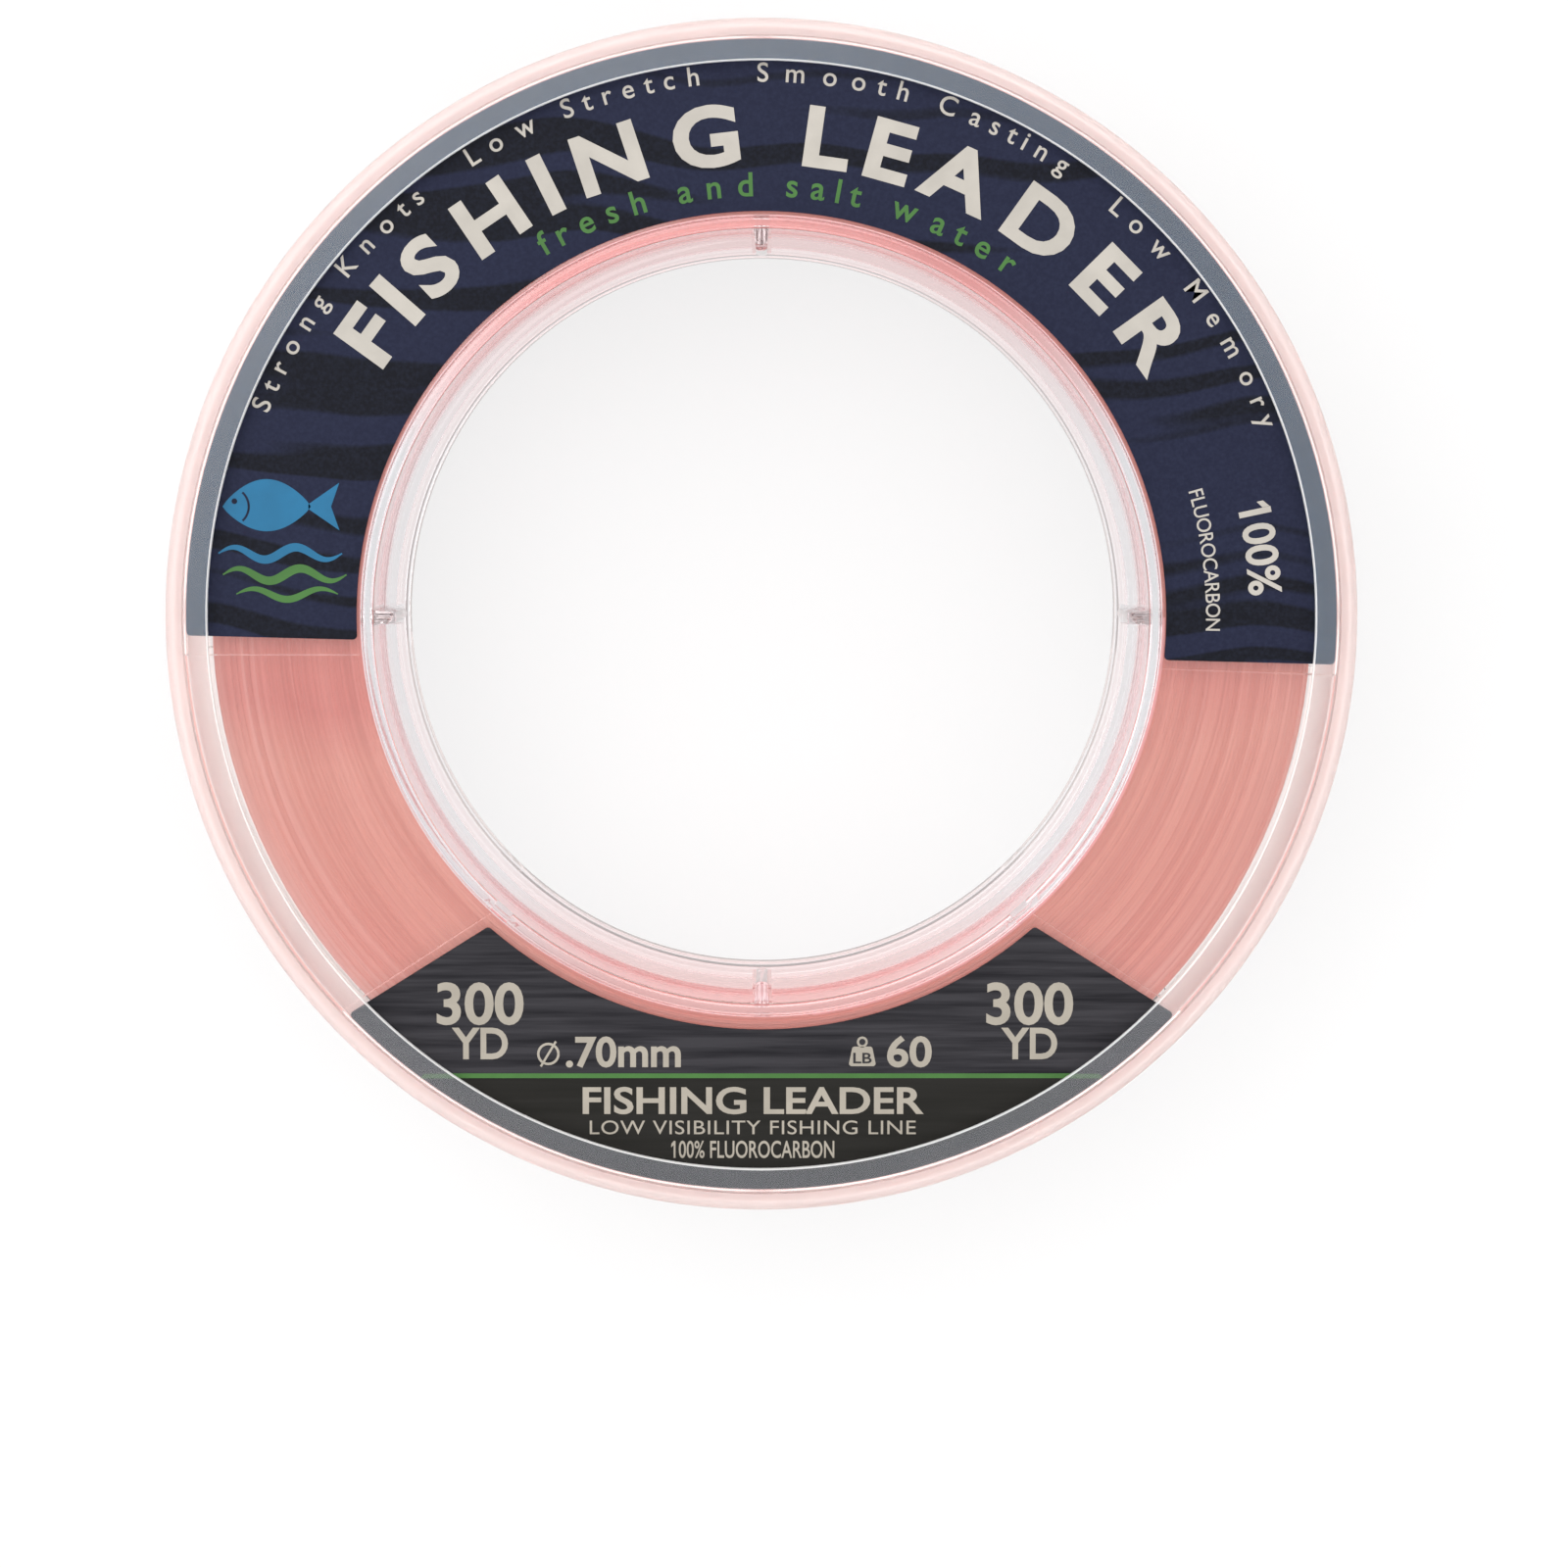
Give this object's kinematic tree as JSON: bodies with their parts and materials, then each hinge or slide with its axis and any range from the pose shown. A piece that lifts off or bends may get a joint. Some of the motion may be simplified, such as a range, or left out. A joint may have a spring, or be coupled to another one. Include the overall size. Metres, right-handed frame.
{
  "type": "fishing line spool",
  "caption": "Flat clear wheel spool wound with fishing line, labelled on both faces, that turns inside a frosted press-fit rim cover.",
  "frame": {"origin": "centre of the rear face, on the surface that the spool lies on", "axes": "+Z along the spool's axis, out of the front face, with the spool lying flat; +Y to the top of the front labels"},
  "size_m": [0.135, 0.135, 0.0284],
  "materials": {
    "clear_styrene": "clear, glossy moulded polystyrene",
    "frosted_polyethylene": "frosted, translucent moulded polyethylene",
    "pink_fluorocarbon": "glossy salmon pink monofilament, level wound",
    "navy_label_film": "printed navy film",
    "charcoal_label_film": "printed charcoal film",
    "grey_tape": "thin grey tape"
  },
  "bodies": {
    "rear_cover": {"cover_rear_ring": "frosted_polyethylene"},
    "front_cover": {"cover_front_ring": "frosted_polyethylene"},
    "spool": {"spool_front_half": "clear_styrene", "spool_rear_half": "clear_styrene", "line_winding": "pink_fluorocarbon", "tag_end_tape": "grey_tape", "front_upper_label": "navy_label_film", "front_lower_label": "charcoal_label_film", "rear_upper_label": "navy_label_film", "rear_lower_label": "charcoal_label_film"}
  },
  "joints": [
    {"name": "spool_spin", "type": "hinge", "parent": "rear_cover", "child": "spool", "pos_m": [0, 0, 0], "axis": [0, 0, 1], "continuous": true},
    {"name": "front_cover_lift", "type": "slide", "parent": "rear_cover", "child": "front_cover", "axis": [0, 0, 1], "range_m": [0, 0.03]}
  ]
}
